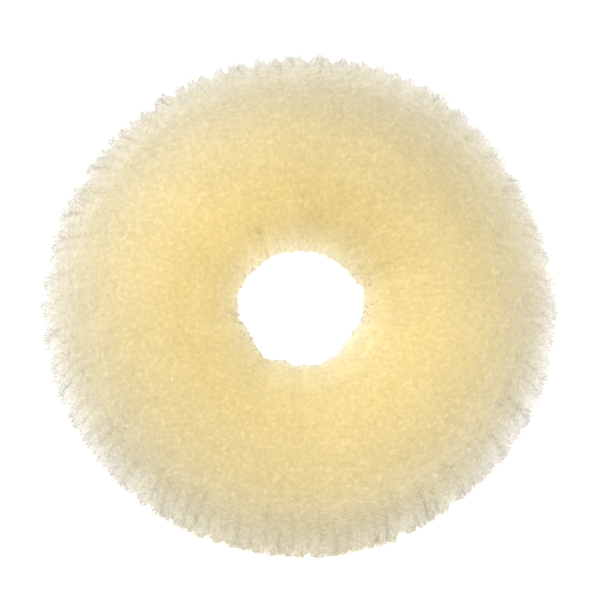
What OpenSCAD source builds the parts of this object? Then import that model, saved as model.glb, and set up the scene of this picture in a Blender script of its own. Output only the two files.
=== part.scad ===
/* [Ring] */
// Diameter of the hole at its narrowest height
hole_d = 21; // [15:0.5:32]
// Width of the rolled tube, from the hole to the rim
tube_w = 34; // [26:0.5:44]
// Height of the ring as it lies, without its humps
ring_h = 31.5; // [24:0.5:40]
// Width of the band under the tube that rests on a surface
rest_w = 14; // [8:0.5:20]

/* [Folds] */
// Depth of the deepest fold in the wall of the hole
fold_depth = 1; // [0.2:0.1:1.5]
// Depth of the deepest dent in the rim
dent_depth = 0.6; // [0.2:0.1:1.5]
// Height of the highest hump on the crown
hump_height = 0.7; // [0.2:0.1:1.5]
// Depth of the gathers that run out of the hole over the crown
gather_depth = 0.35; // [0.1:0.05:0.6]
// Number of gathers
gather_count = 36; // [18:1:48]

/* [Hidden] */

// Steps around the ring and around the tube's section
columns = 144;
rows = 38;

// Section angles: the rim is at 0, the crown at 90, the wall of the hole at 180 and the underside at 270
crown = 90;
hole_wall = 180;

// How far from the hole's wall the gathers run, and from the rim the dents and from the crown the humps
gather_reach = 115;
dent_reach = 100;
hump_reach = 80;

// Folds in the wall of the hole, where a share below 0 is a lobe that leans into the hole.
// Columns: angle around the ring, share of fold_depth, half width, reach around the section
hole_folds = [
    [ 15,  0.85, 12, 130],
    [ 36, -0.35, 14,  80],
    [ 97, -0.40, 24,  90],
    [135, -0.30, 12,  80],
    [165,  0.50, 13,  90],
    [210, -0.95, 19, 100],
    [240,  0.55, 12,  80],
    [256, -0.45, 10,  80],
    [267,  0.45,  8, 130],
    [285,  0.50, 13,  80],
    [326, -1.00, 25, 100]
];

// Dents in the rim, where a share below 0 is a bulge.
// Columns: angle around the ring, share of dent_depth, half width
rim_dents = [
    [ 22,  0.70, 22],
    [ 66, -1.00, 28],
    [135,  0.40, 20],
    [208, -0.45, 32],
    [284, -0.50, 18],
    [308,  0.35, 16],
    [340, -0.45, 20]
];

// Humps on the crown, where a share below 0 is a hollow.
// Columns: angle around the ring, share of hump_height, half width
crown_humps = [
    [ 55,  0.60, 34],
    [120, -0.50, 30],
    [185,  0.80, 40],
    [240, -0.60, 26],
    [300,  1.00, 34],
    [352, -0.40, 22]
];

// The section is an ellipse, cut off at the bottom where the band under it is rest_w wide
rest_cut = sqrt(1 - pow(rest_w / tube_w, 2));
half_w = tube_w / 2;
half_h = ring_h / (1 + rest_cut);
middle_z = half_h * rest_cut;
middle_r = hole_d / 2 + half_w;

// Turn from one angle to another, from -180 to 180
function turn(from, to) = (to - from + 900) % 360 - 180;

// Smooth rise to 1 in the middle of a dent or fold, and 0 past its half width
function rise(off, half) = abs(off) >= half ? 0 : (1 + cos(180 * off / half)) / 2;

function sum(list, i = 0) = i < len(list) ? list[i] + sum(list, i + 1) : 0;

function fold_at(a, s) = fold_depth * sum([
    for (f = hole_folds) f[1] * rise(turn(f[0], a), f[2]) * rise(turn(hole_wall, s), f[3])
]);

function dent_at(a, s) = dent_depth * rise(turn(0, s), dent_reach) * sum([
    for (d = rim_dents) d[1] * rise(turn(d[0], a), d[2])
]);

function hump_at(a, s) = hump_height * rise(turn(crown, s), hump_reach) * sum([
    for (h = crown_humps) h[1] * rise(turn(h[0], a), h[2])
]);

function gather_at(a, s) =
    gather_depth * (1 + cos(gather_count * a)) / 2 * rise(turn(hole_wall, s), gather_reach);

// How far the surface stands out from the plain ellipse
function stand_out(a, s) = hump_at(a, s) - fold_at(a, s) - dent_at(a, s) - gather_at(a, s);

// Point of the surface at angle a around the ring and angle s around the section
function surface_point(a, s) =
    let (
        out = [cos(s) / half_w, sin(s) / half_h],
        section = [half_w * cos(s), half_h * sin(s)] + stand_out(a, s) * out / norm(out),
        r = middle_r + section[0]
    )
    [r * cos(a), r * sin(a), middle_z + section[1]];

// The rolled and gathered tube, lying flat with its hole upright
module mesh_ring() {
    points = [
        for (i = [0:columns - 1], k = [0:rows - 1])
            surface_point(360 * i / columns, 360 * k / rows)
    ];
    function at(i, k) = (i % columns) * rows + k % rows;
    faces = [
        for (i = [0:columns - 1], k = [0:rows - 1])
            each [
                [at(i, k), at(i, k + 1), at(i + 1, k + 1)],
                [at(i, k), at(i + 1, k + 1), at(i + 1, k)]
            ]
    ];
    xs = [for (p = points) p[0]];
    ys = [for (p = points) p[1]];
    middle = [max(xs) + min(xs), max(ys) + min(ys), 0] / 2;
    room = 2 * (middle_r + half_w + dent_depth);
    color("palegoldenrod")
        intersection() {
            translate(-middle)
                polyhedron(points, faces);
            translate([-room / 2, -room / 2, 0])
                cube([room, room, 2 * ring_h]);
        }
}

mesh_ring();
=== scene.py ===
"""Dresses the rolled mesh ring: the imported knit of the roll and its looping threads."""
import math

import bpy
import numpy as np
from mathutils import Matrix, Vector
from mathutils.bvhtree import BVHTree


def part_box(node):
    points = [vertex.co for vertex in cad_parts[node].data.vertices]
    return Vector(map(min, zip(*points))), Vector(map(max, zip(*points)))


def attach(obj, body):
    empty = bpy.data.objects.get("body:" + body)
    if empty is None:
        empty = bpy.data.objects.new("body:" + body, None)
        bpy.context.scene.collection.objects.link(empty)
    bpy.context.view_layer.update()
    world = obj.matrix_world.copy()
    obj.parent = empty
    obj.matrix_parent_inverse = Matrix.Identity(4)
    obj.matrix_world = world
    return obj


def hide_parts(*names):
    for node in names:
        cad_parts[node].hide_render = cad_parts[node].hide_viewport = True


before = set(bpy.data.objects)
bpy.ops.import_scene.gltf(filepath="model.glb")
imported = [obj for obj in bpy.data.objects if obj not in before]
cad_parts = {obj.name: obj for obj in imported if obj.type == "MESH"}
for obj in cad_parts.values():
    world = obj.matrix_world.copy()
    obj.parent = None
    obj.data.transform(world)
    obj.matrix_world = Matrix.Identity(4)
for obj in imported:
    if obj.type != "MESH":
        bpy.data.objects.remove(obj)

MM = 0.001
TURN = 2 * math.pi
NODE = "mesh_ring"
BODY = "root"

# The ring's section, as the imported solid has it
TUBE_WIDTH = 34 * MM

# The camera: the angle it looks down at, how far it stands from the ring, the closest that it sees, and how
# wide the frame is at the ring's middle
CAMERA_ELEVATION = math.radians(76)
CAMERA_AWAY = 1.25
CAMERA_CLIP = 0.01
FRAME_WIDTH = 106.7 * MM
# How far the middle of the frame lies from the ring's middle, to the right and up in the frame
AIM_RIGHT = 0.06 * MM
AIM_UP = 0.95 * MM

# How far the lamps stand from the ring
LAMPS_AWAY = 0.9
# The wide lamp: its direction from the ring, its power and its width
KEY_FROM = Vector((-0.26, -0.02, 0.97))
KEY_LIGHT = 5.1
KEY_WIDTH = 0.9
# The narrow lamp that lights the hole: its direction from the ring, its power, its own radius and how far
# around the ring's middle it lights
HOLE_FROM = Vector((-0.40, 0.30, 0.85))
HOLE_LIGHT = 2.8
HOLE_LIGHT_RADIUS = 0.02
HOLE_LIGHT_REACH = 22 * MM
# The floor: half its width, how far it lies under the ring, its grey, its roughness and its own light
FLOOR_HALF = 3.0
FLOOR_DROP = 0.02 * MM
FLOOR_GREY = 0.4
FLOOR_ROUGHNESS = 0.9
FLOOR_LIGHT = 1.5
# How bright the sky is
SKY_LIGHT = 1.05

# Seeds of the random draws: for the lumps, the ribs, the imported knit's grain and the first piece of threads
LUMP_SEED = 5
RIB_SEED = 7
GRAIN_SEED = 11
THREAD_SEED = 100

# Samples of the solid's surface, around the ring and around its section
SAMPLES_AROUND = 720
SAMPLES_SECTION = 180
# How many samples around the ring are blended, to soften the solid's gathers
GATHER_SAMPLES = 15

# How narrow the bands at the hole and at the rim are where the knit differs from the crown's
EDGE_POWER = 6

# Soft lumps in the wall of the hole: how high, and how many around the ring and around the section
HOLE_LUMP = 0.2 * MM
HOLE_LUMPS = (56, 30)

# Knitted ribs side by side around the ring, each of looping threads that run around the section
RIBS = 112
RIBS_IN_A_PIECE = 16
THREADS_IN_A_RIB = 5
STEPS_IN_A_THREAD = 225
# Radius of the thread at the hole, where the threads crowd, on the crown and at the rim
THREAD_RADII = (0.03 * MM, 0.04 * MM, 0.042 * MM)
THREAD_SIDES = 3
# How much closer together a thread's steps stand at the rim, and further apart in the hole
STEP_CROWDING = 0.45
# Loops around the section, and how many fewer there would be if all stood as they do at the rim
LOOPS_IN_A_THREAD = 60
LOOPS_FEWER_AT_RIM = 12
# Half width of a loop at the hole, on the crown and at the rim, as a share of the room that its rib has, and
# how much narrower its top is
LOOP_HALF_WIDTH = (0.7, 0.5, 0.45)
LOOP_POINTED = 0.2
# Places from the hole's wall to the rim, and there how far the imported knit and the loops' tops and feet lie
# out of the solid's surface
PLACES = (0.0, 0.15, 0.5, 0.85, 1.0)
PACKED_OUT = (-0.3 * MM, -0.03 * MM, -0.03 * MM, -0.1 * MM, -0.45 * MM)
LOOP_TOP = (0.55 * MM, 0.12 * MM, 0.12 * MM, 0.25 * MM, 2.2 * MM)
LOOP_FOOT = (-2.0 * MM, -0.8 * MM, -0.8 * MM, -1.0 * MM, -1.6 * MM)
# Smallest and largest loop, at the hole and at the rim, as shares of the full width and height
SMALLEST_LOOP = (0.6, 0.45)
LARGEST_LOOP = (1.05, 0.88)
# Lowest and highest rib, as a share of the full height
RIB_SIZES = (0.88, 1.12)
# How clearly the ribs stand apart at the rim, at these angles around the ring
GAP_ANGLES = (0, 45, 90, 130, 190, 230, 270, 315, 360)
GAP_SHARES = (0.5, 0.5, 0.6, 1.0, 0.7, 0.5, 0.4, 0.5, 0.5)
# How far the rim stands out, how much of their full depth its loops have there and how far the wall of the
# hole stands back, at these angles around the ring
SHAPE_ANGLES = (0, 30, 60, 90, 120, 150, 180, 210, 240, 270, 300, 330, 360)
RIM_OUT = np.array((1.0, 0.7, 1.05, 1.05, 1.1, 0.95, 1.1, 0.8, 0.45, 0.5, 0.65, 0.85, 1.0)) * MM
RIM_DEPTHS = (0.65, 0.7, 0.7, 0.75, 0.85, 0.8, 0.65, 0.6, 0.55, 0.5, 0.55, 0.6, 0.65)
HOLE_BACK = np.array((0.4, 0.45, -0.1, 0.1, -0.05, 0, 0.1, 0.1, 0.2, 0, 0.45, 0.35, 0.4)) * MM
# Depth of the groove between ribs that stand apart, and how much of a rib's room its threads leave free
RIB_DEPTH = 1.6 * MM
RIB_GAP = 0.6
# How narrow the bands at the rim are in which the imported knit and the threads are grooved
GROOVE_BANDS = (13, 9)
# How far a rib wanders from its place and how far the tops of its loops lean aside, as shares of its room,
# and how many bends it has around the section
RIB_WANDER = 0.3
RIB_LEAN = 0.2
RIB_BENDS = 8
# How far a loop strays from its thread at the hole and at the rim, as a share of the rib's room, and how
# narrow the band at the rim is
LOOP_STRAY = (0.3, 0.15)
STRAY_POWER = 4
# How far a loop's top leans along the section, how much loops run ahead or behind, in radians, and how much
# their widths differ
LOOP_LEAN = 0.5 * MM
LOOP_HURRY = 1.5
LOOP_WIDTH_SPREAD = 0.4

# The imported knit: its points around the ring and around the section, how many grains it has around the ring
# and how high they are
PACKED_COLUMNS = 6 * RIBS
PACKED_ROWS = 146
GRAIN_COLUMNS = 360
PACKED_GRAIN = 0.08 * MM

# Nylon colours from the hole to the rim, as shares of the way between them; the near-white colours at the
# hole's wall are painted light
PACKED_COLOURS = [
    # Painted light: near white at the hole's wall
    (0.00, (0.85, 0.81, 0.65)),
    (0.05, (0.76, 0.66, 0.39)),
    (0.15, (0.66, 0.54, 0.25)),
    (0.30, (0.62, 0.495, 0.205)),
    (0.60, (0.57, 0.47, 0.23)),
    (0.85, (0.52, 0.46, 0.30)),
    (0.95, (0.56, 0.52, 0.405)),
    (1.00, (0.60, 0.57, 0.50)),
]
THREAD_COLOURS = [
    # Painted light: near white at the hole's wall
    (0.00, (1.00, 0.98, 0.88)),
    (0.06, (0.98, 0.91, 0.64)),
    (0.20, (0.84, 0.74, 0.40)),
    (0.45, (0.795, 0.705, 0.41)),
    (0.75, (0.74, 0.66, 0.43)),
    (0.90, (0.70, 0.64, 0.46)),
    (0.96, (0.705, 0.665, 0.555)),
    (1.00, (0.785, 0.77, 0.72)),
]
# The nylon's roughness, how far light spreads inside it, how uneven its grains are and how strong its
# painted highlights are
PACKED_LOOK = (0.6, 8 * MM, 0.07, 0.06)
THREAD_LOOK = (0.35, 0.0, 0.04, 0.6)
NYLON_IOR = 1.53
# How far red, green and blue light spread, as shares of the full way
GLOW_REACH = (1, 0.9, 0.7)
# Patches and grains of uneven colour: their sizes, and the darkest and lightest tint of the patches
PATCH_LENGTH = 9 * MM
PATCH_TINTS = (0.97, 1.02)
GRAIN_LENGTH = 0.8 * MM
# How much the roughness differs and over which length, and the size, depth and strength of the bumps
ROUGHNESS_SPREAD = 0.1
ROUGHNESS_LENGTH = 0.6 * MM
BUMP_LENGTH = 0.15 * MM
BUMP_DEPTH = 0.05 * MM
BUMP_STRENGTH = 0.4
# Noise: how many finer layers it has, and which range of its values is spread out
NOISE_DETAIL = 3
NOISE_RANGE = (0.3, 0.7)
# Painted highlights: their colour, about how long they are, and the range of noise over which they come up
PAINTED_HIGHLIGHT_COLOUR = (1.00, 0.97, 0.85)
PAINTED_HIGHLIGHT_LENGTH = 0.8 * MM
PAINTED_HIGHLIGHT_RANGE = (0.6, 0.68)
# Painted light and shade by side: the side that takes its colours from further out, while the one across
# from it takes them from further in; how strongly, which counts most half way to the rim and not at all at
# the rim; how much is left at the hole
PAINTED_SHADING_SHIFT_SIDE = math.radians(105)
PAINTED_SHADING_SHIFT = 0.45
PAINTED_SHADING_SHIFT_AT_HOLE = 0.03
# Painted shade on the near side: the side, how much closer to the hole its colours are taken from, and how
# narrow it is
PAINTED_SHADE_SIDE = math.radians(272)
PAINTED_SHADE_SHIFT = 0.07
PAINTED_SHADE_POWER = 4
# Share of the way to the rim where the painted light and shade inside start to turn into those of the rim
PAINTED_SHADING_RIM_START = 0.75
# Angles around the ring towards which, and across from which, painted light makes the knit paler, with
# painted shade at right angles to them; and how much inside and at the rim
PAINTED_SHADING_BOTH_WAYS = [
    (math.radians(145), (0.06, 0.0)),
    (math.radians(5), (0.0, 0.065)),
]
# Sides with painted light, paler than the ones across from them, which have painted shade: the angle, and
# how much inside and at the rim
PAINTED_SHADING_SIDES = [
    (math.radians(155), (0.03, 0.0)),
    (math.radians(51), (0.0, 0.055)),
]


def set_camera(middle):
    """Camera at the photo's angle, aimed so that the ring lies where the photo shows it."""
    camera = bpy.data.objects.new("camera", bpy.data.cameras.new("camera"))
    bpy.context.collection.objects.link(camera)
    back = Vector((0, -math.cos(CAMERA_ELEVATION), math.sin(CAMERA_ELEVATION)))
    up = Vector((0, math.sin(CAMERA_ELEVATION), math.cos(CAMERA_ELEVATION)))
    camera.location = middle + Vector((AIM_RIGHT, 0, 0)) + up * AIM_UP + back * CAMERA_AWAY
    camera.rotation_euler = (math.pi / 2 - CAMERA_ELEVATION, 0, 0)
    camera.data.lens = camera.data.sensor_width * CAMERA_AWAY / FRAME_WIDTH
    camera.data.clip_start = CAMERA_CLIP
    bpy.context.scene.camera = camera


def even_angles(count):
    """This many angles, evenly spread over a whole turn."""
    return np.arange(count) * TURN / count


def angle_grid(columns, rows):
    """The angles around the ring and around its section of this many columns and rows of points."""
    return np.meshgrid(even_angles(columns), even_angles(rows), indexing="ij")


def unit(vectors):
    """These vectors, each made one long."""
    return vectors / np.linalg.norm(vectors, axis=-1, keepdims=True)


def between(ends, share):
    """The value this share of the way from the first end to the second."""
    return ends[0] + (ends[1] - ends[0]) * share


def hole_band(share):
    """1 at the hole, falling off quickly towards the rim."""
    return (1 - share) ** EDGE_POWER


def rim_band(share):
    """1 at the rim, falling off quickly towards the hole."""
    return share**EDGE_POWER


class Surface:
    """The solid's surface, sampled at angles around the ring and around its section."""

    def __init__(self, solid, box):
        self.hole_r = (box[1].x - box[0].x) / 2 - TUBE_WIDTH
        self.rim_r = (box[1].x - box[0].x) / 2
        middle_r = self.rim_r - TUBE_WIDTH / 2
        middle_z = (box[0].z + box[1].z) / 2
        tree = BVHTree.FromPolygons(
            [v.co for v in solid.data.vertices], [p.vertices for p in solid.data.polygons]
        )
        self.points = np.empty((SAMPLES_AROUND, SAMPLES_SECTION, 3))
        self.outward = np.empty((SAMPLES_AROUND, SAMPLES_SECTION, 3))
        for i, a in enumerate(even_angles(SAMPLES_AROUND)):
            middle = Vector((middle_r * math.cos(a), middle_r * math.sin(a), middle_z))
            for k, s in enumerate(even_angles(SAMPLES_SECTION)):
                out = Vector((math.cos(a) * math.cos(s), math.sin(a) * math.cos(s), math.sin(s)))
                self.points[i, k] = tree.ray_cast(middle, out)[0]
                self.outward[i, k] = out
        self.points = self.lumpy(self.smoothed(self.points))
        self.over = unit(np.roll(self.points, -1, 1) - np.roll(self.points, 1, 1))

    def smoothed(self, points):
        """These points, each one the mean of its neighbours around the ring."""
        turned = even_angles(SAMPLES_AROUND)
        spokes = np.stack([np.cos(turned), np.sin(turned)], -1)[:, None]
        r = np.hypot(points[..., 0], points[..., 1])
        reach = range(-(GATHER_SAMPLES // 2), GATHER_SAMPLES // 2 + 1)
        r, z = (sum(np.roll(row, step, 0) for step in reach) / len(reach) for row in (r, points[..., 2]))
        return np.concatenate([spokes * r[..., None], z[..., None]], -1)

    def lumpy(self, points):
        """These points with soft lumps in the wall of the hole."""
        around, section = angle_grid(SAMPLES_AROUND, SAMPLES_SECTION)
        lumps = np.random.default_rng(LUMP_SEED).uniform(-1, 1, (*HOLE_LUMPS, 1))
        height = HOLE_LUMP * at(lumps, around, section)
        return points + self.outward * height * hole_band(self.openness(points)[..., None])

    def openness(self, points):
        """How far these points lie from the hole's wall, 0, towards the rim, 1."""
        r = np.hypot(points[..., 0], points[..., 1])
        return np.clip((r - self.hole_r) / (self.rim_r - self.hole_r), 0, 1)


def at(table, around, section):
    """The values of a table over the whole surface at these angles, blended between its samples."""
    i = np.mod(around / TURN, 1) * table.shape[0]
    k = np.mod(section / TURN, 1) * table.shape[1]
    low_i, low_k = i.astype(int), k.astype(int)
    share_i, share_k = (i - low_i)[..., None], (k - low_k)[..., None]
    low_i, low_k = low_i % table.shape[0], low_k % table.shape[1]
    high_i, high_k = (low_i + 1) % table.shape[0], (low_k + 1) % table.shape[1]
    lower = table[low_i, low_k] * (1 - share_i) + table[high_i, low_k] * share_i
    upper = table[low_i, high_k] * (1 - share_i) + table[high_i, high_k] * share_i
    return lower * (1 - share_k) + upper * share_k


def uneven(rng, rows, knots, samples):
    """Smooth random values from -1 to 1, one closed row for each thread, that change this many times."""
    values = rng.uniform(-1, 1, (rows, knots))
    place = np.arange(samples) * knots / samples
    low = place.astype(int)
    share = (1 - np.cos(math.pi * (place - low))) / 2
    return values[:, low] * (1 - share) + values[:, (low + 1) % knots] * share


def add_map(mesh, angles):
    """A map of the angles at each point, for the colour bake; no quad of it reaches across a seam."""
    corners = np.empty(len(mesh.loops), int)
    mesh.loops.foreach_get("vertex_index", corners)
    uv = np.mod(angles.reshape(-1, 2)[corners] / TURN, 1).reshape(len(mesh.polygons), -1, 2)
    wraps = uv.max(1, keepdims=True) - uv.min(1, keepdims=True) > 0.5
    uv = np.where(wraps & (uv < 0.5), uv + 1, uv)
    mesh.uv_layers.new(name="OFBake").data.foreach_set("uv", uv.ravel().astype(np.float32))


def add_piece(name, points, faces, angles, material):
    """One mesh piece of the ring, with a map of the angles at each point for the colour bake."""
    mesh = bpy.data.meshes.new(name)
    mesh.from_pydata(points.reshape(-1, 3).tolist(), [], faces.tolist())
    mesh.polygons.foreach_set("use_smooth", np.ones(len(mesh.polygons), bool))
    add_map(mesh, angles)
    mesh.materials.append(material)
    piece = bpy.data.objects.new(name, mesh)
    bpy.context.collection.objects.link(piece)
    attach(piece, BODY)
    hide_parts(NODE)
    return piece


def grid_faces(rows, columns):
    """Quads of closed grids of points, where both directions run round."""
    i, k = np.meshgrid(np.arange(rows), np.arange(columns), indexing="ij")
    i, k = i.ravel(), k.ravel()
    next_i, next_k = (i + 1) % rows, (k + 1) % columns
    return np.stack(
        [i * columns + k, next_i * columns + k, next_i * columns + next_k, i * columns + next_k], 1
    )


def over_ring(values, share):
    """The value at this share of the way to the rim, from those at the hole, on the crown and at the rim."""
    return values[1] + (values[0] - values[1]) * hole_band(share) + (values[2] - values[1]) * rim_band(share)


def stand_out(places, around, share):
    """How far out of the solid's surface a height given at the places lies at these angles and shares."""
    angles = np.degrees(around) % 360
    rim = np.interp(angles, SHAPE_ANGLES, RIM_OUT) * rim_band(share)
    hole = np.interp(angles, SHAPE_ANGLES, HOLE_BACK) * hole_band(share)
    depth = 1 - (1 - np.interp(angles, SHAPE_ANGLES, RIM_DEPTHS)) * rim_band(share)
    return np.interp(share, PLACES, places) * depth + rim - hole


class Ribs:
    """How high each rib stands, how far it wanders from its place and how clearly it stands apart."""

    def __init__(self):
        rng = np.random.default_rng(RIB_SEED)
        self.sizes = rng.uniform(*RIB_SIZES, RIBS)
        self.wander = RIB_WANDER * uneven(rng, RIBS, RIB_BENDS, SAMPLES_SECTION)[..., None]

    def gaps(self, around, share, band):
        """How clearly the ribs stand apart at these angles around the ring and shares of the way out."""
        return np.interp(np.degrees(around) % 360, GAP_ANGLES, GAP_SHARES) * share**band

    def ridge(self, around, section):
        """The height of the ribs' rounded ridges here, from 0 in the grooves between them."""
        place = around * RIBS / TURN - at(self.wander, around, section)[..., 0]
        size = self.sizes[np.rint(place).astype(int) % RIBS]
        return size * np.sqrt(np.abs(np.cos(math.pi * place)))


def packed_knit(surface, ribs, material):
    """The knit of the inner layers, packed into one rough body that the threads stand out of."""
    rng = np.random.default_rng(GRAIN_SEED)
    around, section = angle_grid(PACKED_COLUMNS, PACKED_ROWS)
    points = at(surface.points, around, section)
    share = surface.openness(points)
    groove = RIB_DEPTH * ribs.gaps(around, share, GROOVE_BANDS[0]) * (1 - ribs.ridge(around, section))
    grains = rng.uniform(-1, 1, (GRAIN_COLUMNS, PACKED_ROWS, 1))
    grain = PACKED_GRAIN * at(grains, around, section)[..., 0]
    height = stand_out(PACKED_OUT, around, share) - groove + grain
    points = points + at(surface.outward, around, section) * height[..., None]
    points[..., 2] = np.maximum(points[..., 2], 0)
    angles = np.stack([around, section], -1)
    piece = add_piece("packed_knit", points, grid_faces(PACKED_COLUMNS, PACKED_ROWS), angles, material)


def tube_points(lines, aside, radius):
    """Rings of points around these closed lines of points; aside is never along a line."""
    ahead = unit(np.roll(lines, -1, 1) - np.roll(lines, 1, 1))
    right = unit(np.cross(ahead, aside))
    up = np.cross(ahead, right)
    turns = even_angles(THREAD_SIDES)[:, None]
    rings = right[..., None, :] * np.cos(turns) + up[..., None, :] * np.sin(turns)
    return lines[..., None, :] + radius[..., None, None] * rings


def thread_points(surface, around, section, height, radius):
    """Points of threads of this radius that run through these angles, this high on the surface."""
    lines = at(surface.points, around, section) + at(surface.outward, around, section) * height[..., None]
    lines[..., 2] = np.maximum(lines[..., 2], radius)
    return tube_points(lines, at(surface.over, around, section), radius)


def tube_faces(lines, steps):
    """Quads along closed tubes of this many rings each."""
    line, step, side = (
        g.ravel()
        for g in np.meshgrid(np.arange(lines), np.arange(steps), np.arange(THREAD_SIDES), indexing="ij")
    )
    here = (line * steps + step) * THREAD_SIDES
    there = (line * steps + (step + 1) % steps) * THREAD_SIDES
    next_side = (side + 1) % THREAD_SIDES
    return np.stack([here + side, here + next_side, there + next_side, there + side], 1)


def thread_lanes(ribs, number, rib, section, room):
    """Where these threads run across their ribs, as shares of a rib's width from its middle."""
    lane = (number % THREADS_IN_A_RIB + 0.5) / THREADS_IN_A_RIB - 0.5
    return lane * room + at(ribs.wander, rib * TURN / RIBS, section)[..., 0]


def loop_sizes(open_share, draws):
    """How large the loops are, as shares of the full width and height, by random draws from -1 to 1."""
    rim = rim_band(open_share)
    sizes = between(SMALLEST_LOOP, rim), between(LARGEST_LOOP, rim)
    return between(sizes, (1 + draws) / 2)


def loop_heights(rib_sizes, around, open_share, size, top_share):
    """How high the threads lie out of the surface, from the feet of their loops at a top share of 0."""
    top = stand_out(LOOP_TOP, around, open_share) * rib_sizes
    foot = stand_out(LOOP_FOOT, around, open_share)
    return foot + (top - foot) * size * top_share


def rib_threads(surface, ribs, piece_number, material):
    """The looping threads of some neighbouring ribs, each thread a closed coil around the section."""
    rng = np.random.default_rng(THREAD_SEED + piece_number)
    threads = RIBS_IN_A_PIECE * THREADS_IN_A_RIB
    steps = STEPS_IN_A_THREAD
    share = np.arange(steps) / steps

    def loose():
        return uneven(rng, threads, LOOPS_IN_A_THREAD, steps)

    number = np.arange(threads)[:, None]
    rib = piece_number * RIBS_IN_A_PIECE + number // THREADS_IN_A_RIB
    hand = 1 - 2 * (number % 2)
    turn = TURN * LOOPS_IN_A_THREAD * share - LOOPS_FEWER_AT_RIM * np.sin(TURN * share)
    turn = turn + rng.uniform(0, TURN, (threads, 1)) + LOOP_HURRY * loose()
    section = TURN * share - STEP_CROWDING * np.sin(TURN * share)
    open_share = surface.openness(at(surface.points, rib * TURN / RIBS, section))
    room = 1 - RIB_GAP * ribs.gaps(rib * TURN / RIBS, open_share, GROOVE_BANDS[1])
    lane = thread_lanes(ribs, number, rib, section, room)
    stray = between(LOOP_STRAY, open_share**STRAY_POWER) * loose()
    size = loop_sizes(open_share, loose())
    top_share = (1 + np.sin(turn)) / 2
    width = hand * over_ring(LOOP_HALF_WIDTH, open_share) * room * (1 + LOOP_WIDTH_SPREAD * loose()) * size
    width = width * (1 - LOOP_POINTED * top_share)
    lean = RIB_LEAN * loose() * top_share
    around = (rib + lane + stray + lean + width * np.cos(turn)) * TURN / RIBS
    section = section + LOOP_LEAN / (TUBE_WIDTH / 2) * loose() * np.sin(turn)
    height = loop_heights(ribs.sizes[rib], around, open_share, size, top_share)
    points = thread_points(surface, around, section, height, over_ring(THREAD_RADII, open_share))
    angles = np.repeat(np.stack([around, section], -1)[:, :, None], THREAD_SIDES, 2)
    name = "rib_threads_%d" % (piece_number + 1)
    add_piece(name, points, tube_faces(threads, steps), angles, material)


def nodes_of(material):
    """The material's nodes, emptied, and its links."""
    material.use_nodes = True
    material.node_tree.nodes.clear()
    return material.node_tree.nodes, material.node_tree.links


def step_node(nodes, links, kind, operation, *values):
    """A node of this kind that does this operation on these numbers and values."""
    node = nodes.new(kind)
    node.operation = operation
    for socket, value in zip(node.inputs, values):
        if isinstance(value, bpy.types.NodeSocket):
            links.new(value, socket)
        else:
            socket.default_value = value
    return node


def calculate(nodes, links, operation, *values):
    """The number that this operation gives."""
    return step_node(nodes, links, "ShaderNodeMath", operation, *values).outputs[0]


def flattened(nodes, links, place):
    """The place, moved straight down to the height 0."""
    return step_node(nodes, links, "ShaderNodeVectorMath", "MULTIPLY", place, (1, 1, 0)).outputs[0]


def distance_share(nodes, links, place, surface):
    """How far the place lies from the hole's wall, 0, towards the rim, 1."""
    flat = flattened(nodes, links, place)
    length = step_node(nodes, links, "ShaderNodeVectorMath", "LENGTH", flat).outputs["Value"]
    return spread(nodes, links, length, 0, 1, surface.hole_r, surface.rim_r)


def colour_share(nodes, links, place, share):
    """This share, shifted to the one whose colours the place has on its side of the ring, as painted light
    and shade.
    """
    # Painted shade on the near side
    near = calculate(nodes, links, "MAXIMUM", towards(nodes, links, place, PAINTED_SHADE_SIDE), 0)
    near = calculate(nodes, links, "POWER", near, PAINTED_SHADE_POWER)
    share = calculate(nodes, links, "MULTIPLY", share, spread(nodes, links, near, 1, 1 - PAINTED_SHADE_SHIFT, 0, 1))
    # Painted light and shade by side
    inside = calculate(nodes, links, "ADD", share, PAINTED_SHADING_SHIFT_AT_HOLE)
    inside = calculate(nodes, links, "MULTIPLY", inside, calculate(nodes, links, "SUBTRACT", 1, share))
    shift = calculate(nodes, links, "MULTIPLY", inside, towards(nodes, links, place, PAINTED_SHADING_SHIFT_SIDE))
    return calculate(nodes, links, "MULTIPLY_ADD", shift, PAINTED_SHADING_SHIFT, share)


def ramp(nodes, links, value, colours):
    """The colour between these at this value."""
    node = nodes.new("ShaderNodeValToRGB")
    elements = node.color_ramp.elements
    elements[0].position, elements[1].position = colours[0][0], colours[-1][0]
    elements[0].color, elements[1].color = (*colours[0][1], 1), (*colours[-1][1], 1)
    for position, colour in colours[1:-1]:
        elements.new(position).color = (*colour, 1)
    links.new(value, node.inputs["Fac"])
    return node.outputs["Color"]


def noise(nodes, links, place, grain):
    """Noise with patches about this size."""
    node = nodes.new("ShaderNodeTexNoise")
    node.inputs["Scale"].default_value = 1 / grain
    node.inputs["Detail"].default_value = NOISE_DETAIL
    links.new(place, node.inputs["Vector"])
    return node.outputs["Fac"]


def spread(nodes, links, value, low, high, start=NOISE_RANGE[0], end=NOISE_RANGE[1]):
    """The value, from the start to the end of its own range, spread over this range."""
    node = nodes.new("ShaderNodeMapRange")
    node.inputs["From Min"].default_value = start
    node.inputs["From Max"].default_value = end
    node.inputs["To Min"].default_value = low
    node.inputs["To Max"].default_value = high
    links.new(value, node.inputs["Value"])
    return node.outputs["Result"]


def tinted(nodes, links, colour, value):
    """The colour, darkened or lightened by this value."""
    node = nodes.new("ShaderNodeVectorMath")
    node.operation = "SCALE"
    links.new(colour, node.inputs[0])
    links.new(value, node.inputs["Scale"])
    return node.outputs[0]


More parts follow.
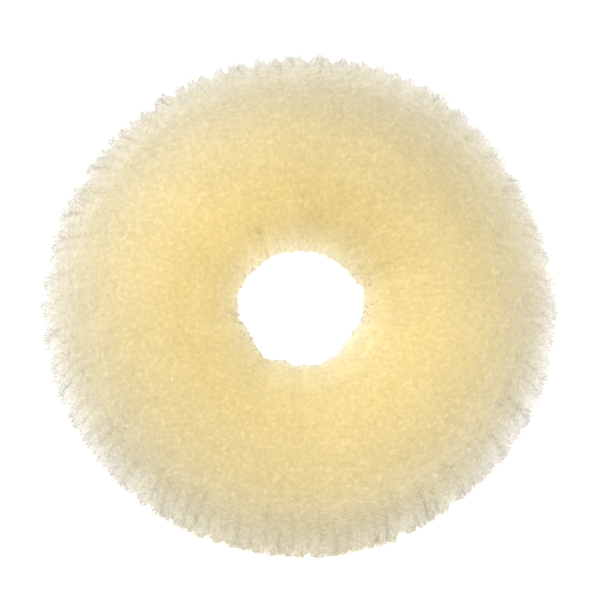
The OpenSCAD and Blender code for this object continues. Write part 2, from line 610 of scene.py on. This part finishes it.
def towards(nodes, links, place, angle):
    """A value from 1 on the side at this angle around the ring to -1 on the one across from it."""
    flat = flattened(nodes, links, place)
    along = step_node(nodes, links, "ShaderNodeVectorMath", "NORMALIZE", flat).outputs[0]
    side = (math.cos(angle), math.sin(angle), 0)
    return step_node(nodes, links, "ShaderNodeVectorMath", "DOT_PRODUCT", along, side).outputs["Value"]


def painted_shading_by(nodes, links, side, share, amounts):
    """How pale the painted light and shade make the knit at this share, on a side with this value from -1 to
    1.
    """
    amount = spread(nodes, links, share, *amounts, PAINTED_SHADING_RIM_START, 1)
    return calculate(nodes, links, "MULTIPLY_ADD", side, amount, 1)


def painted_shading_side(nodes, links, place, share, angle, amounts):
    """How pale the painted light makes the knit towards this angle, with painted shade across from it."""
    return painted_shading_by(nodes, links, towards(nodes, links, place, angle), share, amounts)


def painted_shading_both_ways(nodes, links, place, share, angle, amounts):
    """How pale the painted light makes the knit towards this angle and across from it, with painted shade
    between.
    """
    side = towards(nodes, links, place, angle)
    square = calculate(nodes, links, "MULTIPLY", side, side)
    return painted_shading_by(nodes, links, spread(nodes, links, square, -1, 1, 0, 1), share, amounts)


def with_painted_highlights(nodes, links, colour, place, strength):
    """The colour, with a few short painted highlights of this strength."""
    share = spread(nodes, links, noise(nodes, links, place, PAINTED_HIGHLIGHT_LENGTH), 0, strength, *PAINTED_HIGHLIGHT_RANGE)
    mix = nodes.new("ShaderNodeMix")
    mix.data_type = "RGBA"
    # The sockets of a colour mix: 0 takes the share, 6 and 7 take the colours, and 2 gives the result
    links.new(share, mix.inputs[0])
    links.new(colour, mix.inputs[6])
    mix.inputs[7].default_value = (*PAINTED_HIGHLIGHT_COLOUR, 1)
    return mix.outputs[2]


def uneven_colour(nodes, links, place, share, colours, contrast):
    """The colour at this share, uneven in patches and grains, with painted light and shade by side."""
    colour = ramp(nodes, links, share, colours)
    patches = spread(nodes, links, noise(nodes, links, place, PATCH_LENGTH), *PATCH_TINTS)
    grains = spread(nodes, links, noise(nodes, links, place, GRAIN_LENGTH), 1 - contrast, 1 + contrast)
    tints = [patches, grains]
    # Painted light and shade by side
    tints += [painted_shading_side(nodes, links, place, share, *side) for side in PAINTED_SHADING_SIDES]
    tints += [painted_shading_both_ways(nodes, links, place, share, *both) for both in PAINTED_SHADING_BOTH_WAYS]
    for value in tints:
        colour = tinted(nodes, links, colour, value)
    return colour


def uneven_surface(nodes, links, shader, place, roughness):
    """Gives the shader an uneven roughness and fine bumps."""
    rough = noise(nodes, links, place, ROUGHNESS_LENGTH)
    rough = spread(nodes, links, rough, roughness - ROUGHNESS_SPREAD, roughness + ROUGHNESS_SPREAD)
    links.new(rough, shader.inputs["Roughness"])
    bump = nodes.new("ShaderNodeBump")
    bump.inputs["Distance"].default_value = BUMP_DEPTH
    bump.inputs["Strength"].default_value = BUMP_STRENGTH
    links.new(noise(nodes, links, place, BUMP_LENGTH), bump.inputs["Height"])
    links.new(bump.outputs["Normal"], shader.inputs["Normal"])


def nylon(name, surface, colours, roughness, glow, contrast, painted_highlights):
    """Half clear nylon in these colours from the hole to the rim."""
    material = bpy.data.materials.new(name)
    nodes, links = nodes_of(material)
    place = nodes.new("ShaderNodeTexCoord").outputs["Object"]
    share = colour_share(nodes, links, place, distance_share(nodes, links, place, surface))
    colour = uneven_colour(nodes, links, place, share, colours, contrast)
    # Painted highlights: short bright specks painted into the colour
    colour = with_painted_highlights(nodes, links, colour, place, painted_highlights)
    shader = nodes.new("ShaderNodeBsdfPrincipled")
    shader.inputs["IOR"].default_value = NYLON_IOR
    shader.inputs["Subsurface Weight"].default_value = 1 if glow else 0
    shader.inputs["Subsurface Radius"].default_value = GLOW_REACH
    shader.inputs["Subsurface Scale"].default_value = glow
    links.new(colour, shader.inputs["Base Color"])
    uneven_surface(nodes, links, shader, place, roughness)
    out = nodes.new("ShaderNodeOutputMaterial")
    links.new(shader.outputs[0], out.inputs["Surface"])
    return material


def add_lamp(name, kind, middle, direction, power):
    """A lamp in this direction from the middle, turned to it; its settings are returned."""
    lamp = bpy.data.objects.new(name, bpy.data.lights.new(name, kind))
    lamp.location = middle + direction.normalized() * LAMPS_AWAY
    lamp.rotation_euler = direction.to_track_quat("Z", "Y").to_euler()
    lamp.data.energy = power
    bpy.context.collection.objects.link(lamp)
    return lamp.data


def light_ring(middle):
    """An even sky, a wide soft lamp from the upper left and a narrow one into the hole."""
    scene = bpy.context.scene
    scene.view_settings.view_transform = "Standard"
    world = bpy.data.worlds.new("studio")
    world.use_nodes = True
    world.node_tree.nodes["Background"].inputs["Color"].default_value = (1, 1, 1, 1)
    world.node_tree.nodes["Background"].inputs["Strength"].default_value = SKY_LIGHT
    scene.world = world
    key = add_lamp("key_light", "AREA", middle, KEY_FROM, KEY_LIGHT)
    key.size = KEY_WIDTH
    spot = add_lamp("hole_light", "SPOT", middle, HOLE_FROM, HOLE_LIGHT)
    spot.spot_size = 2 * math.atan(HOLE_LIGHT_REACH / LAMPS_AWAY)
    spot.spot_blend = 1
    spot.shadow_soft_size = HOLE_LIGHT_RADIUS


def lay_floor():
    """A glowing white floor, just under the ring."""
    mesh = bpy.data.meshes.new("floor")
    sides = [(-1, -1), (1, -1), (1, 1), (-1, 1)]
    corners = [(x * FLOOR_HALF, y * FLOOR_HALF, -FLOOR_DROP) for x, y in sides]
    mesh.from_pydata(corners, [], [(0, 1, 2, 3)])
    floor = bpy.data.objects.new("floor", mesh)
    bpy.context.collection.objects.link(floor)
    white = bpy.data.materials.new("white_floor")
    white.use_nodes = True
    shader = white.node_tree.nodes["Principled BSDF"]
    shader.inputs["Base Color"].default_value = (FLOOR_GREY, FLOOR_GREY, FLOOR_GREY, 1)
    shader.inputs["Roughness"].default_value = FLOOR_ROUGHNESS
    shader.inputs["Emission Color"].default_value = (1, 1, 1, 1)
    shader.inputs["Emission Strength"].default_value = FLOOR_LIGHT
    mesh.materials.append(white)


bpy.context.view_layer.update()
solid_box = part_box(NODE)
ring_middle = (solid_box[0] + solid_box[1]) / 2
set_camera(ring_middle)
light_ring(ring_middle)
lay_floor()
surface = Surface(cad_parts[NODE], solid_box)
packed = nylon("packed_nylon", surface, PACKED_COLOURS, *PACKED_LOOK)
thread = nylon("thread_nylon", surface, THREAD_COLOURS, *THREAD_LOOK)
ribs = Ribs()
packed_knit(surface, ribs, packed)
for number in range(RIBS // RIBS_IN_A_PIECE):
    rib_threads(surface, ribs, number, thread)
